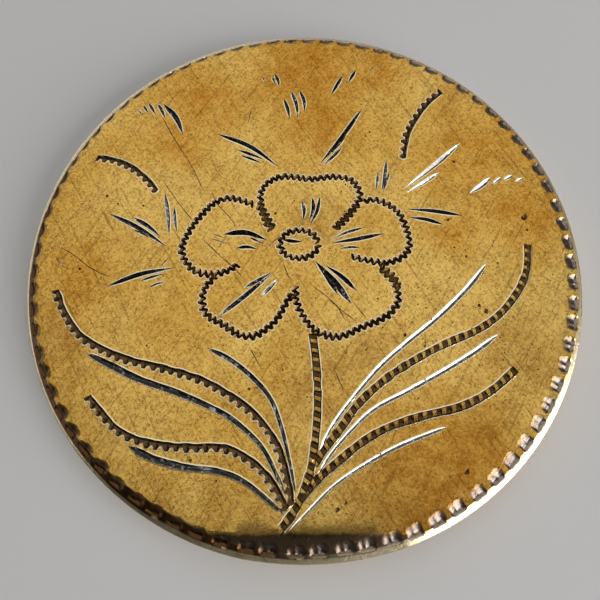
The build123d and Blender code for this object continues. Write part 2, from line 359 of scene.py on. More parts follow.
def add_toothed_band(cuts, places, pitch, band, depth, reach):
    """A heavier rocked line: a straight cut along its left edge and slanting bars with teeth between.

    reach is where the uncut teeth end, from -1 at the right edge of the band to 1 at the left edge.
    """
    line = Rocked(cuts, places, pitch, band)
    rise = LIP_HEIGHT * 0.6
    left, left_feet, right, right_feet, keels, floors = [], [], [], [], [], []
    for i in range(line.count):
        deep = depth * rng.uniform(0.85, 1.15)
        for step in (0.0 if i else 0.25, 0.5):
            line.crest(left, left_feet, i + step, 1.0, LIP_HEIGHT, LIP_WIDTH)
        keels.append(line.corner(i + 0.25, 0.5, -deep))
        keels.append(line.corner(i + 0.78, 0.5 + 0.5 * reach, -deep * 0.5))
        floors.append(line.corner(i + 0.27, -0.7, -deep * 0.8))
        for step in BAR_STEPS:
            line.crest(right, right_feet, i + step, -1.0, rise, LIP_WIDTH * 1.4)
        notch = reach + rng.uniform(-0.15, 0.15)
        for step, further, foot_step in TOOTH_CORNERS:
            right.append(line.corner(i + step, notch + further, rise))
            right_feet.append(line.corner(i + foot_step, notch + further - 0.4, 0.0))
    for i in range(line.count):
        l0, l1 = left[2 * i:2 * i + 2]
        k0, k1 = keels[2 * i:2 * i + 2]
        b0, b1, b2, b3 = right[4 * i:4 * i + 4]
        floor = floors[i]
        cuts.rocked(l0, l1, k0)
        cuts.rocked(k0, b2, floor)
        cuts.rocked(floor, b2, b1)
        cuts.rocked(floor, b1, b0)
        if i == 0:
            cuts.rocked(l0, k0, floor)
            cuts.rocked(l0, floor, b0)
        if i + 1 < line.count:
            next_l, next_k = left[2 * i + 2], keels[2 * i + 2]
            next_floor, next_b = floors[i + 1], right[4 * i + 4]
            cuts.rocked(l1, k1, k0)
            cuts.rocked(l1, next_l, k1)
            cuts.rocked(next_l, next_k, k1)
            cuts.rocked(k0, k1, b2)
            cuts.rocked(k1, b3, b2)
            cuts.rocked(k1, next_k, b3)
            cuts.rocked(b3, next_k, next_floor)
            cuts.rocked(b3, next_floor, next_b)
        else:
            cuts.rocked(l1, b2, k0)
    cuts.edge_lip(left, left_feet)
    cuts.edge_lip(right[:-2], right_feet[:-2])


def add_ladder(cuts, places, pitch, band, depth):
    """A rocked line closed along both edges, with deep slanting strokes and shallow bars between them."""
    line = Rocked(cuts, places, pitch, band)
    rows = [[line.corner(0.0, side, 0.0) for side in LADDER_SIDES]]
    left_feet, right_feet = [line.corner(0.0, 1.0, 0.0)], [line.corner(0.0, -1.0, 0.0)]
    for i in range(line.count):
        deep = depth * rng.uniform(0.85, 1.15)
        stroke = (LIP_HEIGHT, -0.7 * deep, -deep, -0.7 * deep, LIP_HEIGHT)
        bar = (LIP_HEIGHT, -0.45 * deep, -0.1 * deep, -0.45 * deep, LIP_HEIGHT)
        for step, heights in ((0.17, stroke), (0.5, stroke), (0.6, bar), (0.95, bar)):
            rows.append([
                line.corner(i + step + LADDER_SLANT * side, side, z)
                for side, z in zip(LADDER_SIDES, heights)
            ])
            left_feet.append(line.corner(i + step + LADDER_SLANT, 1.0, 0.0, beyond=LIP_WIDTH))
            right_feet.append(line.corner(i + step - LADDER_SLANT, -1.0, 0.0, beyond=LIP_WIDTH))
    rows.append([line.corner(line.count, side, 0.0) for side in LADDER_SIDES])
    left_feet.append(line.corner(line.count, 1.0, 0.0))
    right_feet.append(line.corner(line.count, -1.0, 0.0))
    for r in range(len(rows) - 1):
        first, second = rows[r], rows[r + 1]
        for k in range(len(LADDER_SIDES) - 1):
            dark = LADDER_BAR_TONE if r % 4 == 3 and k in (1, 2) else 1.0
            cuts.rocked(first[k], second[k], second[k + 1], dark=dark)
            cuts.rocked(first[k], second[k + 1], first[k + 1], dark=dark)
    cuts.edge_lip([row[0] for row in rows], left_feet)
    cuts.edge_lip([row[-1] for row in rows], right_feet)


def add_scratch(cuts, places):
    points, directions = smooth_curve(places, 0.5)
    widths = [SCRATCH_WIDTH * rng.uniform(0.7, 1.2) for _ in points]
    cuts.ribbon(points, directions, widths, [w * 0.3 for w in widths], lip=0.002, lean=0.0)


def add_pit(cuts, x, y, size):
    """A small corrosion pit with an uneven outline."""
    middle = Vector((x, y))
    turns = 7
    start = rng.uniform(0, math.tau)
    rim = []
    for i in range(turns):
        angle = start + math.tau * i / turns
        reach = size * rng.uniform(0.7, 1.2)
        rim.append(cuts.corner(middle + Vector((math.cos(angle), math.sin(angle))) * reach, 0.0))
    floor = cuts.corner(middle, -size * 0.45)
    for i in range(turns):
        cuts.rocked(rim[i], rim[(i + 1) % turns], floor)


# -------- the engraving

TOP_PETAL = [
    (-1.6, 1.6), (-2.05, 2.4), (-2.4, 3.3), (-2.4, 4.0), (-1.95, 4.65), (-1.0, 5.0), (0.5, 4.8),
    (1.8, 4.95), (2.9, 4.7), (3.35, 3.8), (3.15, 3.2), (2.5, 2.42), (1.75, 1.6),
]
RIGHT_PETAL = [
    (3.5, 3.3), (4.1, 3.45), (4.9, 3.15), (5.5, 2.6), (5.85, 1.7), (6.0, 0.8), (5.7, 0.0),
    (4.7, -0.45), (3.6, -0.3), (2.65, -0.05),
]
LOWER_RIGHT_PETAL = [
    (4.2, -0.75), (4.85, -1.35), (5.15, -2.0), (5.1, -2.8), (4.4, -3.55), (3.1, -4.1),
    (1.9, -4.6), (0.8, -4.35), (0.15, -3.7), (-0.35, -2.7), (-0.42, -1.75),
]
LOWER_LEFT_PETAL = [
    (-0.55, -2.1), (-0.95, -2.8), (-1.5, -3.75), (-2.5, -4.5), (-3.3, -4.5), (-4.3, -3.9),
    (-5.2, -3.35), (-5.5, -2.5), (-5.3, -1.75), (-4.8, -1.15),
]
UPPER_LEFT_PETAL = [
    (-2.75, 3.15), (-3.4, 3.4), (-4.2, 3.6), (-5.1, 3.3), (-5.9, 2.4), (-6.5, 1.4), (-6.8, 0.35),
    (-6.3, -0.6), (-5.7, -0.98), (-4.9, -1.05), (-4.2, -0.88), (-3.5, -0.45),
]
PETALS = [TOP_PETAL, RIGHT_PETAL, LOWER_RIGHT_PETAL, LOWER_LEFT_PETAL, UPPER_LEFT_PETAL]
# Second passes of the graver beside the petals
DOUBLED_LINES = [
    [(-1.76, 1.52), (-2.21, 2.33), (-2.56, 3.25)],
    [(3.22, 3.12), (2.6, 2.35), (1.83, 1.53)],
    [(4.32, -0.66), (4.96, -1.26), (5.27, -1.97)],
]
HEART = (-0.2, 0.7)
HEART_RADII = (1.1, 0.86)
HEART_PLACES = 12
PETAL_PITCH = 0.36
PETAL_BAND = 0.45

STEM = [
    (0.5, -4.4), (0.66, -5.8), (0.73, -7.2), (0.7, -8.5), (0.6, -9.6), (0.45, -10.6), (0.28, -11.4),
    (0.0, -12.1), (-0.3, -12.8), (-0.72, -13.4), (-1.22, -13.98),
]
LEFT_LEAVES = [
    [(-13.6, -1.85), (-13.0, -3.1), (-12.0, -4.4), (-10.7, -5.2), (-9.2, -5.8), (-7.2, -6.28), (-5.2, -6.9),
     (-3.5, -7.85), (-2.2, -8.9), (-1.3, -10.2), (-0.88, -11.5), (-0.6, -13.0)],
    [(-11.15, -7.6), (-10.3, -8.5), (-9.2, -9.45), (-7.6, -10.0), (-5.7, -10.18), (-4.0, -10.2),
     (-2.8, -10.72), (-1.8, -11.55), (-0.75, -13.2)],
]
RIGHT_LEAVES = [
    [(12.6, 0.6), (12.3, -1.0), (11.6, -2.25), (10.5, -3.45), (9.2, -4.3), (7.6, -4.95), (5.9, -5.8),
     (4.3, -6.78), (2.8, -8.05), (1.9, -9.2), (1.0, -10.3), (0.5, -11.0)],
    [(11.0, -6.35), (9.6, -7.45), (8.0, -8.22), (6.0, -8.68), (4.2, -9.24), (2.9, -9.93), (1.7, -10.82),
     (0.5, -11.78), (-0.3, -12.7)],
]
CURLS = [
    [(-12.4, 6.35), (-11.2, 6.12), (-10.1, 5.6), (-9.15, 4.8), (-8.4, 3.85)],
    [(8.7, 10.95), (7.75, 10.1), (6.95, 9.0), (6.35, 7.9), (6.1, 6.9), (5.95, 5.95)],
]
LEAF_PITCH = 0.5
LEAF_BAND = 0.44
PETAL_DEPTH = 0.075
LEAF_DEPTH = 0.09

LEFT_LEAF_LINES = [
    ([(-11.45, -5.38), (-10.0, -6.08), (-8.5, -6.78), (-6.5, -7.46), (-4.8, -8.17), (-3.6, -8.8),
      (-2.15, -10.05), (-1.3, -11.5), (-0.85, -12.5)], 0.33),
    ([(-8.75, -10.07), (-7.4, -10.68), (-5.8, -11.07), (-4.2, -11.26), (-2.8, -11.8),
      (-0.95, -13.2)], 0.33),
    ([(-5.05, -5.17), (-3.8, -5.8), (-2.6, -6.75), (-1.68, -7.8), (-1.15, -9.1), (-0.75, -10.6),
      (-0.4, -12.3)], 0.25),
]
RIGHT_LEAF_LINES = [
    ([(10.2, -0.5), (8.95, -1.95), (7.2, -3.56), (5.45, -4.93), (3.95, -6.2), (2.45, -7.85), (1.4, -9.2),
      (0.65, -10.6)], 0.25),
    ([(10.35, -4.5), (8.95, -5.45), (7.2, -6.46), (5.4, -7.4), (3.6, -8.3), (2.45, -9.28), (1.4, -10.4),
      (0.55, -11.6)], 0.23),
    ([(7.2, -9.2), (4.8, -10.08), (2.95, -11.0), (1.5, -11.9), (0.5, -12.78), (-0.75, -13.95)], 0.17),
]

# Dashes: start, end, width, bow to the left of start-to-end
LEFT_DASHES = [
    ((-10.15, 9.78), (-9.9, 9.4), 0.13, 0.0), ((-9.82, 10.02), (-9.5, 9.5), 0.15, 0.0),
    ((-9.52, 10.2), (-9.0, 9.35), 0.18, 0.0), ((-8.98, 10.2), (-8.4, 9.05), 0.2, 0.04),
    ((-8.6, 10.12), (-7.22, 7.9), 0.33, 0.2),
    ((-8.0, 3.95), (-7.55, 1.2), 0.21, 0.05), ((-7.4, 3.05), (-7.15, 1.5), 0.17, -0.03),
    ((-11.15, 2.68), (-7.65, 0.6), 0.27, 0.12), ((-9.75, 2.42), (-8.05, 1.22), 0.24, 0.08),
    ((-9.6, 1.63), (-8.72, 1.18), 0.13, 0.03),
    ((-10.8, -1.75), (-7.05, -0.65), 0.27, 0.18), ((-8.95, -1.42), (-7.6, -1.0), 0.15, 0.03),
    ((-8.42, -1.8), (-7.5, -1.48), 0.12, 0.06), ((-7.92, -0.6), (-7.45, -0.02), 0.07, 0.0),
]
TOP_DASHES = [
    ((-2.45, 12.08), (-2.3, 11.62), 0.1, 0.0), ((-1.88, 12.15), (-1.68, 11.55), 0.13, 0.0),
    ((-1.7, 12.3), (-1.42, 11.35), 0.2, 0.06),
    ((-1.12, 10.42), (-0.75, 8.95), 0.22, 0.06), ((-0.68, 11.02), (-0.25, 9.05), 0.23, 0.12),
    ((-0.15, 11.05), (0.15, 9.45), 0.21, 0.14),
    ((-5.2, 7.95), (-1.4, 5.62), 0.29, 0.3), ((-3.85, 6.8), (-2.3, 6.15), 0.2, 0.02),
    ((-3.65, 6.42), (-2.4, 5.88), 0.15, 0.02),
    ((3.72, 9.68), (1.0, 5.75), 0.27, 0.08), ((2.65, 7.75), (1.5, 6.3), 0.17, 0.03),
    ((2.42, 6.95), (1.2, 5.68), 0.19, 0.03),
    ((2.58, 12.12), (1.82, 10.68), 0.22, 0.0), ((3.42, 12.52), (2.92, 11.6), 0.2, 0.0),
    ((4.55, 12.78), (4.28, 12.4), 0.08, 0.0), ((5.2, 13.1), (4.9, 12.68), 0.06, 0.0),
]
RIGHT_DASHES = [
    ((9.55, 7.22), (5.95, 4.15), 0.29, 0.06), ((8.08, 5.2), (6.1, 3.9), 0.21, 0.02),
    ((11.05, 4.85), (9.72, 3.83), 0.29, 0.06), ((11.68, 4.87), (11.0, 4.32), 0.15, 0.0),
    ((12.32, 4.98), (11.72, 4.63), 0.16, 0.0), ((12.92, 4.8), (12.42, 4.54), 0.12, 0.0),
    ((5.0, 6.05), (4.62, 4.0), 0.2, 0.05), ((4.46, 5.22), (4.28, 4.05), 0.15, 0.02),
    ((5.15, 5.2), (4.68, 3.9), 0.16, -0.02),
    ((9.15, 2.38), (5.95, 2.83), 0.24, -0.08), ((8.02, 1.83), (6.05, 2.3), 0.23, -0.1),
]
HEART_DASHES = [
    ((-4.5, 1.33), (-2.0, 0.95), 0.34, 0.28), ((-3.0, 1.12), (-2.2, 0.72), 0.12, 0.0),
    ((-3.72, 0.48), (-2.55, 0.42), 0.2, 0.1),
    ((-5.05, 1.35), (-4.4, 1.1), 0.06, 0.0), ((-5.15, 1.05), (-4.25, 0.78), 0.06, 0.0),
    ((-0.02, 3.38), (0.03, 2.18), 0.19, 0.1), ((0.58, 3.62), (0.4, 2.2), 0.22, 0.14),
    ((1.02, 3.66), (0.42, 1.85), 0.2, 0.12),
    ((3.58, 1.72), (1.55, 0.98), 0.16, -0.06), ((4.62, 1.32), (1.55, 0.74), 0.24, 0.04),
    ((3.22, 0.48), (2.05, 0.4), 0.15, -0.05),
    ((-4.62, -3.52), (-1.6, -0.9), 0.27, -0.05), ((-3.25, -1.87), (-1.75, -0.95), 0.2, -0.04),
    ((-2.3, -2.35), (-1.35, -1.3), 0.2, -0.04),
    ((1.88, -2.25), (0.68, -0.28), 0.27, -0.06), ((2.62, -2.8), (0.82, -0.42), 0.36, -0.06),
    ((2.92, -2.07), (1.25, -0.58), 0.27, -0.1),
    ((-1.12, 0.97), (-0.02, 0.84), 0.23, -0.03),
]

DASH_GROUPS = [  # with how lit their walls are painted: painted light and shade
    (LEFT_DASHES, 0.35), (TOP_DASHES, 0.25), (RIGHT_DASHES, 0.6), (HEART_DASHES, 0.15),
]

SCRATCHES = [
    [(-8.6, 9.2), (-7.9, 7.9), (-6.5, 5.6), (-5.8, 4.1)],
    [(-5.3, 4.1), (-4.9, 3.2), (-4.1, 2.3), (-3.7, 1.6)],
    [(-8.2, 4.8), (-7.1, 3.2), (-6.2, 2.1)],
    [(-5.7, 1.1), (-4.6, 0.0), (-3.9, -0.6), (-3.1, -1.5)],
    [(-14.0, 0.75), (-13.0, 0.25), (-11.8, -0.65), (-10.4, -1.3)],
    [(-13.9, 0.1), (-13.4, -0.5), (-13.0, -0.75)],
    [(-3.1, 9.95), (-3.3, 8.6)],
    [(1.2, -2.3), (2.0, -3.1), (2.9, -3.8)],
    [(0.3, -1.6), (1.1, -2.2), (1.9, -3.0), (2.3, -3.8)],
    [(2.6, -2.5), (3.0, -3.1), (3.5, -3.7)],
    [(-1.1, -0.4), (-0.8, -1.2), (-0.5, -1.6)],
    [(-2.3, 0.2), (-1.7, 0.8), (-1.2, 1.3)],
    [(8.3, 7.4), (8.7, 6.8)],
    [(1.5, -6.1), (1.9, -7.0), (2.1, -7.7)],
    [(-2.9, -5.0), (-2.4, -5.9), (-2.1, -6.4)],
    [(6.9, -9.3), (7.0, -9.75)],
]
LONE_PITS = [  # x, y, size
    (4.1, 8.0, 0.07), (3.85, 7.72, 0.06), (9.0, 5.9, 0.1), (12.65, 2.25, 0.22), (12.68, 1.5, 0.09),
    (8.3, 2.15, 0.1), (9.8, -3.25, 0.14), (9.5, -2.9, 0.1), (5.4, -4.5, 0.12), (10.8, -0.5, 0.07),
    (9.1, -0.1, 0.08), (8.5, 0.45, 0.07), (7.95, -11.3, 0.16), (2.0, -12.7, 0.1), (1.6, -13.0, 0.12),
    (-5.6, -10.75, 0.1), (-4.3, -11.7, 0.07), (-2.8, -7.3, 0.08), (-1.55, 2.6, 0.1), (-10.7, 3.3, 0.07),
    (-9.2, 3.15, 0.08), (-11.4, 3.8, 0.09), (-12.4, -0.7, 0.1), (6.4, -5.1, 0.08), (3.3, -5.3, 0.06),
]
PIT_PATCHES = [  # centre, spread, how many
    ((11.4, -5.6), (1.2, 0.8), 26), ((7.0, -4.0), (2.6, 1.4), 22), ((9.5, 0.0), (1.8, 1.6), 18),
    ((1.5, -7.5), (1.6, 2.4), 22), ((-1.5, -6.0), (1.6, 1.8), 16), ((3.0, 4.3), (2.0, 1.2), 8),
    ((0.0, 0.0), (7.0, 7.0), 26), ((8.8, -8.0), (2.5, 1.6), 14),
]


def engrave():
    cuts = Cuts()
    for places in PETALS + DOUBLED_LINES:
        add_zigzag(cuts, places, PETAL_PITCH, PETAL_BAND, PETAL_DEPTH)
    ring = []
    for i in range(HEART_PLACES + 1):
        angle = math.tau * i / HEART_PLACES
        x = HEART[0] + HEART_RADII[0] * math.cos(angle)
        y = HEART[1] + HEART_RADII[1] * math.sin(angle)
        ring.append((x, y))
    add_zigzag(cuts, ring, PETAL_PITCH, PETAL_BAND * 0.95, PETAL_DEPTH)
    for places in LEFT_LEAVES + CURLS:
        add_toothed_band(cuts, places, LEAF_PITCH, LEAF_BAND, LEAF_DEPTH, reach=-0.2)
    for places in [STEM, *RIGHT_LEAVES]:
        add_ladder(cuts, places, LEAF_PITCH, LEAF_BAND * 0.92, LEAF_DEPTH)
    # right leaf lines painted fully lit, left ones half shaded: painted light and shade
    for lines, cuts.cut_light, chatter in ((LEFT_LEAF_LINES, 0.5, 0.4), (RIGHT_LEAF_LINES, 1.0, 0.06)):
        for places, width in lines:
            add_leaf_line(cuts, places, width, chatter)
    for dashes, cuts.cut_light in DASH_GROUPS:
        for start, end, width, bend in dashes:
            add_dash(cuts, start, end, width, bend)
    # scratch walls painted fully shaded: painted shade
    cuts.cut_light = 0.0
    for places in SCRATCHES:
        add_scratch(cuts, places)
    for x, y, size in LONE_PITS:
        add_pit(cuts, x, y, size)
    for centre, spread, count in PIT_PATCHES:
        for _ in range(count):
            x = rng.gauss(centre[0], spread[0])
            y = rng.gauss(centre[1], spread[1])
            if math.hypot(x, y) < FIELD_R - 0.3:
                add_pit(cuts, x, y, rng.uniform(0.03, 0.055))
    return cuts


# -------- the border

def facing(theta, side):
    """How far a place on the border lies towards a side, from 0 to 1."""
    return max(0.0, math.cos(theta - math.radians(side)))


def bevel_radius(theta):
    """Where the bevel begins; it was filed by hand, narrow at the lower right, widest at the lower left."""
    lower_right = math.cos(theta + math.radians(35))
    dirty = facing(theta, SHADED_SIDE)
    filed = math.exp(-((math.degrees(theta) - FILED_SIDE) / 17) ** 2)
    width = 0.48 - 0.08 * lower_right + 0.05 * dirty ** 2 + 0.38 * filed
    return TOKEN_R - width + 0.015 * math.sin(9 * theta)


def edge_level(theta):
    """Height of the outer edge over the CAD face."""
    return -0.38 + 0.16 * facing(theta, LOWER_RIGHT_SIDE) ** 2 + 0.08 * facing(theta, TOP_SIDE) ** 2


def bevel_shade(theta):
    """Share of painted shade on the bevel, most at the lower left."""
    return min(1.0, max(0.0, 1.6 * math.cos(theta - math.radians(215)) - 0.1))


def scoop_shade_and_dirt(theta):
    """Share of dirt and painted shade in the scoops, least at the right."""
    return 0.6 + 0.4 * math.cos(theta - math.radians(170))


def bevel_wear_and_highlight(theta):
    """Share of bright wear and painted highlight on the bevel, most at the upper left and the lower right.
    """
    return min(1.0, max(0.0, 0.5 + 0.8 * math.cos(2 * (theta - math.radians(122)))))


@dataclass
class Scoop:
    """A dent of the border, from its inner to its outer end."""

    theta: float
    inner: float
    outer: float
    half_width: float
    depth: float

    def offset(self, theta):
        """Distance along the border from the dent's middle line."""
        turn = (theta - self.theta + math.pi) % math.tau - math.pi
        return turn * TOKEN_R

    def depth_at(self, radius, theta):
        """A ramp down from the inner end to a place near the outer end, and round across."""
        share = (radius - self.inner) / (self.outer - self.inner)
        v = self.offset(theta) / self.half_width
        if not 0 < share < 1 or abs(v) >= 1:
            return 0.0
        ramp = min(share / DEEPEST_SHARE, (1 - share) / (1 - DEEPEST_SHARE))
        round_off = 1 - (1 - 2 * share) ** 4 * 0.5
        return self.depth * ramp * max(0.0, 1 - (v / round_off) ** 2) ** 0.7


def make_scoops():
    """Two unequal strokes at each of the places round the border."""
    scoops = []
    for k in range(SCOOP_COUNT):
        theta = math.radians(SCOOP_PHASE + 360 / SCOOP_COUNT * k + rng.uniform(-0.35, 0.35))
        lower_right = 0.5 + 0.5 * math.cos(theta + math.radians(50))
        reach_in = (
            SCOOP_REACH + 0.09 * math.cos(theta + math.radians(35))
            + 0.07 * facing(theta, SHADED_SIDE) + 0.14 * lower_right ** 2
        )
        inner = TOKEN_R - reach_in + rng.uniform(-0.03, 0.03)
        outer = TOKEN_R - SCOOP_OUTER_INSET + rng.uniform(-0.02, 0.02)
        depth = SCOOP_DEPTH * rng.uniform(0.9, 1.15)
        half_width = (0.4 - 0.14 * lower_right) * rng.uniform(0.94, 1.06)
        scoops.append(Scoop(theta + 0.14 * lower_right / TOKEN_R, inner, outer, half_width, depth))
        beside = theta - (0.30 - 0.08 * lower_right) / TOKEN_R
        scoops.append(Scoop(beside, inner + 0.2 - 0.16 * lower_right, outer, 0.22, depth * 0.8))
    return scoops


# -------- building the token

def scattered(radius, spacing, avoid):
    """Jittered places over a disc, clear of the places in avoid."""
    cell = spacing * 0.6
    taken = {(round(x / cell), round(y / cell)) for x, y, *_ in avoid}
    places = []
    steps = int(radius / spacing) + 1
    for i in range(-steps, steps + 1):
        for j in range(-steps, steps + 1):
            x = (i + 0.5 * (j % 2) + rng.uniform(-0.25, 0.25)) * spacing
            y = (j + rng.uniform(-0.25, 0.25)) * spacing
            if math.hypot(x, y) > radius:
                continue
            if (round(x / cell), round(y / cell)) not in taken:
                places.append((x, y))
    return places


def height_on(triangle, corners, place):
    """Height of a cut's triangle at a place in plan."""
    (x1, y1, z1), (x2, y2, z2), (x3, y3, z3) = (corners[i] for i in triangle)
    area = (x2 - x1) * (y3 - y1) - (x3 - x1) * (y2 - y1)
    if abs(area) < 1e-9:
        return max(z1, z2, z3)
    w2 = ((place.x - x1) * (y3 - y1) - (x3 - x1) * (place.y - y1)) / area
    w3 = ((x2 - x1) * (place.y - y1) - (place.x - x1) * (y2 - y1)) / area
    height = z1 + (z2 - z1) * w2 + (z3 - z1) * w3
    return min(max(height, min(z1, z2, z3)), max(z1, z2, z3))


class CoverMap:
    """Finds the cut triangles that lie over a place in plan."""

    CELL = 0.2

    def __init__(self, cuts):
        self.cuts = cuts
        self.cells = {}
        for triangle in cuts.triangles:
            corners = triangle[0]
            xs = [cuts.corners[i][0] for i in corners]
            ys = [cuts.corners[i][1] for i in corners]
            for i in range(math.floor(min(xs) / self.CELL), math.floor(max(xs) / self.CELL) + 1):
                for j in range(math.floor(min(ys) / self.CELL), math.floor(max(ys) / self.CELL) + 1):
                    self.cells.setdefault((i, j), []).append(triangle)

    def over(self, place):
        key = (math.floor(place.x / self.CELL), math.floor(place.y / self.CELL))
        return [t for t in self.cells.get(key, ()) if self.holds(t[0], place)]

    def holds(self, corners, place):
        a, b, c = (self.cuts.corners[i] for i in corners)
        sides = [
            (q[0] - p[0]) * (place.y - p[1]) - (q[1] - p[1]) * (place.x - p[0])
            for p, q in ((a, b), (b, c), (c, a))
        ]
        return min(sides) >= 0 or max(sides) <= 0


def triangulate(places, lines, outline):
    """Triangles over all the places, with the lines and the outline among their edges."""
    whole_hull, same_place, keep_sources = 0, 1e-5, True
    return delaunay_2d_cdt(places, lines, [outline], whole_hull, same_place, keep_sources)


def carved_field(rim, cuts):
    """The engraved field in plan: places, their heights over it, and triangles with a kind and a tone."""
    places = [Vector(p) for p in rim]
    offset = len(places)
    places += [Vector(c[:2]) for c in cuts.corners]
    lines = set()
    for corners, _, _ in cuts.triangles:
        for i, j in zip(corners, (*corners[1:], corners[0])):
            lines.add((min(i, j) + offset, max(i, j) + offset))
    places += [Vector(p) for p in scattered(FIELD_R - 0.2, FIELD_SPACING, cuts.corners)]
    outline = list(range(len(rim)))
    out_places, _, out_faces, _, _, sources = triangulate(places, sorted(lines), outline)
    cover = CoverMap(cuts)
    heights = [None] * len(out_places)
    kept = []
    for face, source in zip(out_faces, sources):
        if 0 not in source:
            continue
        middle = sum((out_places[i] for i in face), Vector((0, 0))) / len(face)
        over = cover.over(middle)
        top = max(over, key=lambda t: KINDS.index(t[1]), default=(None, "field", 0.0))
        kept.append((face, top[1], top[2]))
        for corners, _, _ in over:
            for i in face:
                z = height_on(corners, cuts.corners, out_places[i])
                if heights[i] is None or z < heights[i]:
                    heights[i] = z
    return out_places, [z or 0.0 for z in heights], kept


def add_object(name, data):
    thing = bpy.data.objects.new(name, data)
    bpy.context.scene.collection.objects.link(thing)
    return thing


class Surface:
    """The token's mesh while it is being put together, with what the material needs to know."""

    def __init__(self):
        self.mesh = bmesh.new()
        verts, faces = self.mesh.verts.layers.float, self.mesh.faces.layers
        self.depth = verts.new("cut_depth")
        self.lip = verts.new("lip")
        # scoop mask, which also carries the painted shade of the lower-left bevel
        self.dent = verts.new("dent")
        # dirt and painted shade of the scoops and the bevel
        self.shade_and_dirt = verts.new("shade_and_dirt")
        # wear and painted highlight on the bevel and the edge
        self.bevel = verts.new("bevel")
        self.bright = faces.float.new("bright_wall")
        self.rocked = faces.float.new("rocked_wall")
        # how lit a smooth wall is painted (painted light and shade); for a rocked wall, how dark it is
        self.cut_light = faces.float.new("cut_light")
        self.kind = faces.int.new("kind")

    def vertex(self, x, y, z, depth=0.0, lip=0.0, dent=0.0, shade_and_dirt=0.0, bevel=0.0):
        v = self.mesh.verts.new((x * MM, y * MM, z * MM))
        v[self.depth] = depth
        v[self.lip] = lip
        v[self.dent] = dent
        v[self.shade_and_dirt] = shade_and_dirt
        v[self.bevel] = bevel
        return v

    def face(self, verts, kind="field", tone=0.0):
        f = self.mesh.faces.new(verts)
        f.smooth = kind in ("field", "lip")
        f[self.kind] = KINDS.index(kind)
        f[self.bright] = 1.0 if kind == "wall" else 0.0
        f[self.cut_light] = tone
        f[self.rocked] = tone if kind == "rocked" else 0.0

    def finish(self, name):
        bmesh.ops.remove_doubles(self.mesh, verts=self.mesh.verts, dist=WELD_DISTANCE)
        self.mesh.normal_update()
        for edge in self.mesh.edges:
            if len(edge.link_faces) == 2:
                bend = edge.calc_face_angle(0.0)
                kinds = {f[self.kind] for f in edge.link_faces}
                edge.smooth = bend < SHARP_BEND and len(kinds) == 1
        data = bpy.data.meshes.new(name)
        self.mesh.to_mesh(data)
        self.mesh.free()
        return add_object(name, data)


def add_field(surface, cuts, angles):
    rim = [(FIELD_R * math.cos(a), FIELD_R * math.sin(a)) for a in angles]
    places, heights, faces = carved_field(rim, cuts)
    verts = {}
    for face, kind, tone in faces:
        for i in face:
            if i not in verts:
                x, y = places[i]
                z = heights[i]
                verts[i] = surface.vertex(
                    x, y, THICKNESS + surface_level(x, y) + z,
                    depth=min(1.0, max(0.0, -z / FULL_DEPTH)), lip=min(1.0, max(0.0, z / LIP_HEIGHT)),
                )
        surface.face([verts[i] for i in face], kind, tone)


def border_rows(theta, scoops):
    """Radius, height over the CAD face, dent mask, dirt and painted shade, and wear with a painted
    highlight of each border point, inner to outer.
    """
    bevel = bevel_radius(theta)
    cos, sin = math.cos(theta), math.sin(theta)
    rows = [(FIELD_R, surface_level(FIELD_R * cos, FIELD_R * sin), 0.0, 0.0, 0.0)]
    start = surface_level(bevel * cos, bevel * sin)
    end = min(edge_level(theta), start - LEAST_BEVEL_DROP)
    last_r = TOKEN_R - EDGE_ROUND
    for i in range(1, SHOULDER_ROWS + BEVEL_ROWS + 1):
        if i <= SHOULDER_ROWS:
            radius = FIELD_R + (bevel - FIELD_R) * i / SHOULDER_ROWS
            level = surface_level(radius * cos, radius * sin)
            shade_and_dirt = 0.0
            wear_and_highlight = 0.0
        else:
            share = (i - SHOULDER_ROWS) / BEVEL_ROWS
            radius = bevel + (last_r - bevel) * share
            level = start + (end - start) * share
            # the worn line is wear with a painted highlight
            worn_highlight_line = share > WORN_HIGHLIGHT_LINE_AT - 0.3 * bevel_wear_and_highlight(theta)
            # away from the worn line the bevel takes painted shade, most at the lower left
            shade_and_dirt = 0.0 if worn_highlight_line else bevel_shade(theta)
            wear_and_highlight = 1.0 if worn_highlight_line else bevel_wear_and_highlight(theta)
        dent = max((s.depth_at(radius, theta) for s in scoops), default=0.0)
        share = min(1.0, 3 * dent / SCOOP_DEPTH)
        # the bevel's painted shade also goes into the dent mask, so the lower-left bevel takes the dark
        # scoop colour
        rows.append((radius, level - dent, max(shade_and_dirt, share), max(shade_and_dirt, scoop_shade_and_dirt(theta)), wear_and_highlight))
    return rows


